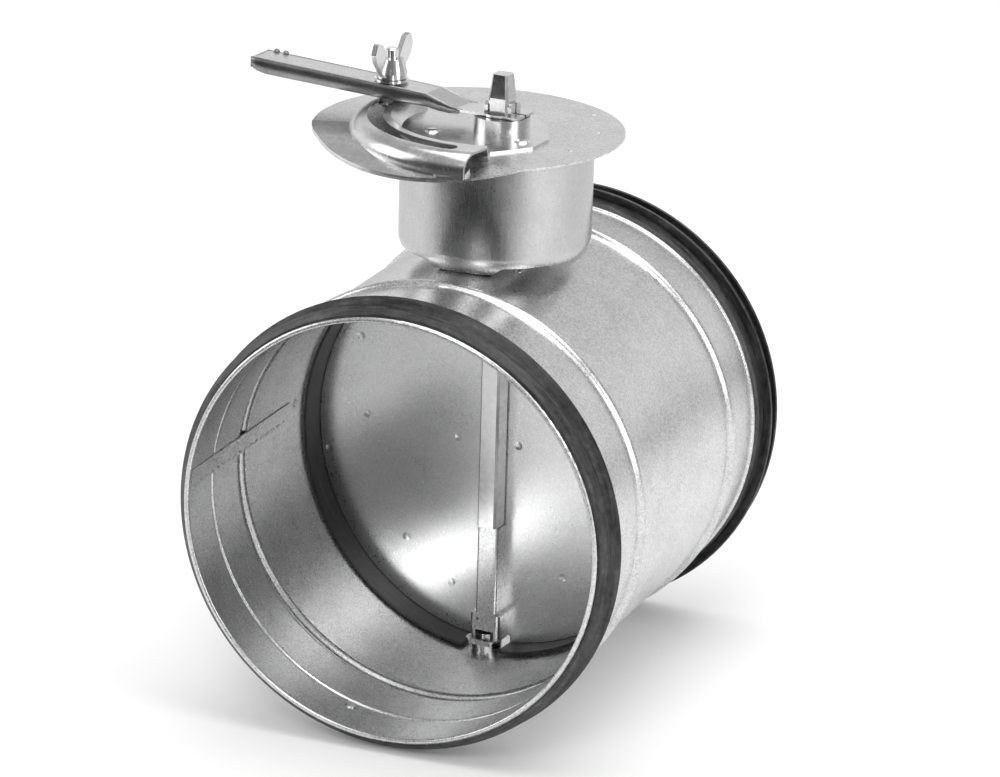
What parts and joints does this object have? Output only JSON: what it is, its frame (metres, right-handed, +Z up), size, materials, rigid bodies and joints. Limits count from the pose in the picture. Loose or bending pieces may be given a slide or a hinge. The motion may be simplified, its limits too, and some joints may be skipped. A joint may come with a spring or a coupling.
{
  "type": "volume control damper",
  "caption": "Round duct damper with a sealed single blade on a square shaft, turned by a raised hand lever on a slotted quadrant and locked with a wing nut.",
  "frame": {"origin": "the crossing of the duct's axis and the blade shaft's axis", "axes": "+Z up along the blade shaft to the hand lever; Y along the duct, -Y towards the long open end; the lever points to -X with the blade closed"},
  "size_m": [0.2357, 0.238, 0.297],
  "materials": {
    "galvanised": "satin",
    "zinc_steel": "bright",
    "gasket_rubber": "matte",
    "bearing_plastic": "matte"
  },
  "bodies": {
    "casing": {"duct_casing": "galvanised", "front_gasket": "gasket_rubber", "rear_gasket": "gasket_rubber", "gasket_rivets": "zinc_steel", "standoff_pot": "galvanised", "mounting_plate": "galvanised", "quadrant": "zinc_steel", "quadrant_rivets": "zinc_steel", "casing_bush": "bearing_plastic", "collar_bush": "bearing_plastic", "pivot_stud": "zinc_steel"},
    "blade": {"drive_shaft": "zinc_steel", "lower_sleeve": "bearing_plastic", "upper_sleeve": "bearing_plastic", "blade_front": "galvanised", "blade_rear": "galvanised", "blade_seal": "gasket_rubber", "shaft_channel": "galvanised", "pivot_bracket": "galvanised", "lever": "zinc_steel", "clamp_bolt": "zinc_steel"},
    "clamp_washer": {"clamp_washer": "zinc_steel"},
    "wing_nut": {"wing_nut": "zinc_steel"}
  },
  "joints": [
    {"name": "blade_swing", "type": "hinge", "parent": "casing", "child": "blade", "pos_m": [0, 0, 0], "axis": [0, 0, 1], "range_deg": [0, 92]},
    {"name": "washer_lift", "type": "slide", "parent": "blade", "child": "clamp_washer", "axis": [0, 0, 1], "range_m": [0, 0.002]},
    {"name": "wing_nut_turn", "type": "hinge", "parent": "clamp_washer", "child": "wing_nut", "pos_m": [-0.05808, 0.0061, 0.175], "axis": [0, 0, 1], "range_deg": [0, 727]}
  ],
  "couplings": [
    {"joint": "wing_nut_turn", "follows": "washer_lift", "rad_per_m": 6283.2}
  ]
}
